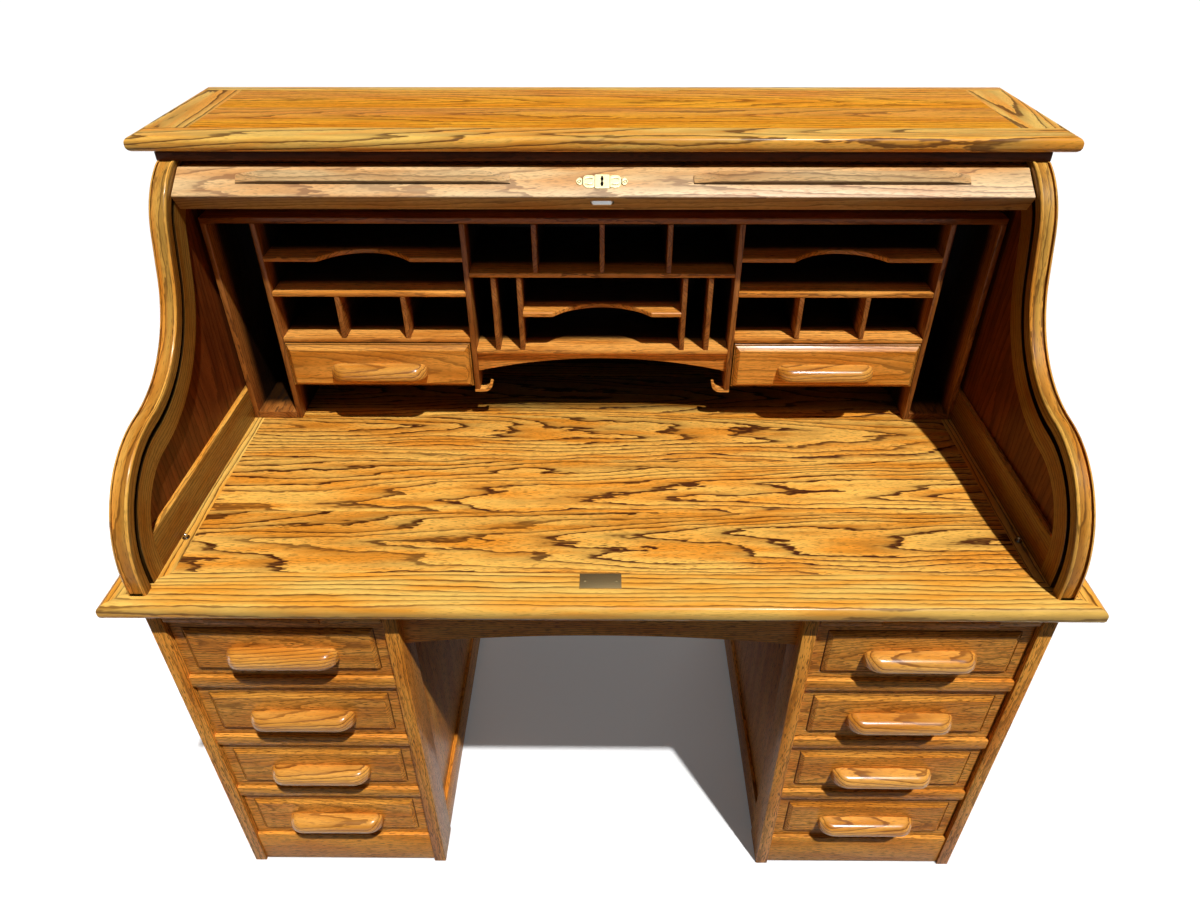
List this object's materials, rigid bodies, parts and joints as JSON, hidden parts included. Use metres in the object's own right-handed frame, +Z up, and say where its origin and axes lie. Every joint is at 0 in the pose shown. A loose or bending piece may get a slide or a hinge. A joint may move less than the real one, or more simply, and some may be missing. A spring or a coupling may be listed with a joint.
{
  "type": "roll-top desk",
  "caption": "Oak roll-top desk: S-curved sides guide a slatted roll over a pigeonhole unit with small drawers, on pedestals with drawers, pull-out writing slides and a kneehole.",
  "frame": {"origin": "on the floor under the middle of the desk's bounding box", "axes": "+X to the right of a person who sits at the desk, +Y to the back, +Z up"},
  "size_m": [1.524, 0.8268, 1.3193],
  "materials": {
    "oak": "satin lacquer",
    "oak_dark": "satin lacquer",
    "oak_panel": "satin lacquer",
    "drawer_wood": "matt",
    "brass": "polished",
    "steel": "bright",
    "strike_steel": "browned"
  },
  "bodies": {
    "desk": {"drawer_runners": "drawer_wood", "frieze": "oak", "front_rails": "oak", "kneehole_apron": "oak", "left_inner_side": "oak", "left_outer_side": "oak", "left_roll_side": "oak", "modesty_panel": "oak_panel", "pedestal_backs": "oak_panel", "pigeonhole_apron": "oak_dark", "pigeonhole_case": "oak_dark", "pigeonhole_dividers": "oak_dark", "pigeonhole_shelves": "oak_dark", "right_inner_side": "oak", "right_outer_side": "oak", "right_roll_side": "oak", "roll_panels": "oak_panel", "scooped_shelves": "oak_dark", "strike_plate": "strike_steel", "tambour_curtain": "oak", "top_frame": "oak", "top_panel": "oak", "upper_back": "oak_panel", "writing_surface_frame": "oak", "writing_surface_panel": "oak"},
    "left_drawer_1": {"left_drawer_1_front": "oak", "left_drawer_1_box": "drawer_wood", "left_drawer_1_pull": "oak"},
    "left_drawer_2": {"left_drawer_2_front": "oak", "left_drawer_2_box": "drawer_wood", "left_drawer_2_pull": "oak"},
    "left_drawer_3": {"left_drawer_3_front": "oak", "left_drawer_3_box": "drawer_wood", "left_drawer_3_pull": "oak"},
    "left_drawer_4": {"left_drawer_4_front": "oak", "left_drawer_4_box": "drawer_wood", "left_drawer_4_pull": "oak"},
    "left_slide_board": {"left_writing_slide": "oak"},
    "left_small_drawer_body": {"left_small_drawer": "oak", "left_small_pull": "oak"},
    "right_drawer_1": {"right_drawer_1_front": "oak", "right_drawer_1_box": "drawer_wood", "right_drawer_1_pull": "oak"},
    "right_drawer_2": {"right_drawer_2_front": "oak", "right_drawer_2_box": "drawer_wood", "right_drawer_2_pull": "oak"},
    "right_drawer_3": {"right_drawer_3_front": "oak", "right_drawer_3_box": "drawer_wood", "right_drawer_3_pull": "oak"},
    "right_drawer_4": {"right_drawer_4_front": "oak", "right_drawer_4_box": "drawer_wood", "right_drawer_4_pull": "oak"},
    "right_slide_board": {"right_writing_slide": "oak"},
    "right_small_drawer_body": {"right_small_drawer": "oak", "right_small_pull": "oak"},
    "tambour": {"tambour_lead_rail": "oak", "finger_pulls": "oak", "tambour_slats": "oak", "escutcheon": "brass"},
    "bolt": {"lock_bolt": "steel"}
  },
  "joints": [
    {"name": "left_drawer_1_slide", "type": "slide", "parent": "desk", "child": "left_drawer_1", "axis": [0, -1, 0], "range_m": [0, 0.4]},
    {"name": "left_drawer_2_slide", "type": "slide", "parent": "desk", "child": "left_drawer_2", "axis": [0, -1, 0], "range_m": [0, 0.4]},
    {"name": "left_drawer_3_slide", "type": "slide", "parent": "desk", "child": "left_drawer_3", "axis": [0, -1, 0], "range_m": [0, 0.4]},
    {"name": "left_drawer_4_slide", "type": "slide", "parent": "desk", "child": "left_drawer_4", "axis": [0, -1, 0], "range_m": [0, 0.4]},
    {"name": "left_writing_slide_pull", "type": "slide", "parent": "desk", "child": "left_slide_board", "axis": [0, -1, 0], "range_m": [0, 0.3]},
    {"name": "left_small_drawer_slide", "type": "slide", "parent": "desk", "child": "left_small_drawer_body", "axis": [0, -1, 0], "range_m": [0, 0.13]},
    {"name": "right_drawer_1_slide", "type": "slide", "parent": "desk", "child": "right_drawer_1", "axis": [0, -1, 0], "range_m": [0, 0.4]},
    {"name": "right_drawer_2_slide", "type": "slide", "parent": "desk", "child": "right_drawer_2", "axis": [0, -1, 0], "range_m": [0, 0.4]},
    {"name": "right_drawer_3_slide", "type": "slide", "parent": "desk", "child": "right_drawer_3", "axis": [0, -1, 0], "range_m": [0, 0.4]},
    {"name": "right_drawer_4_slide", "type": "slide", "parent": "desk", "child": "right_drawer_4", "axis": [0, -1, 0], "range_m": [0, 0.4]},
    {"name": "right_writing_slide_pull", "type": "slide", "parent": "desk", "child": "right_slide_board", "axis": [0, -1, 0], "range_m": [0, 0.3]},
    {"name": "right_small_drawer_slide", "type": "slide", "parent": "desk", "child": "right_small_drawer_body", "axis": [0, -1, 0], "range_m": [0, 0.13]},
    {"name": "tambour_roll", "type": "hinge", "parent": "desk", "child": "tambour", "pos_m": [0, 0.13242, 1.14327], "axis": [1, 0, 0], "range_deg": [0, 28]},
    {"name": "lock_bolt_throw", "type": "slide", "parent": "tambour", "child": "bolt", "axis": [0, -0.832, -0.5548], "range_m": [0, 0.01]}
  ]
}
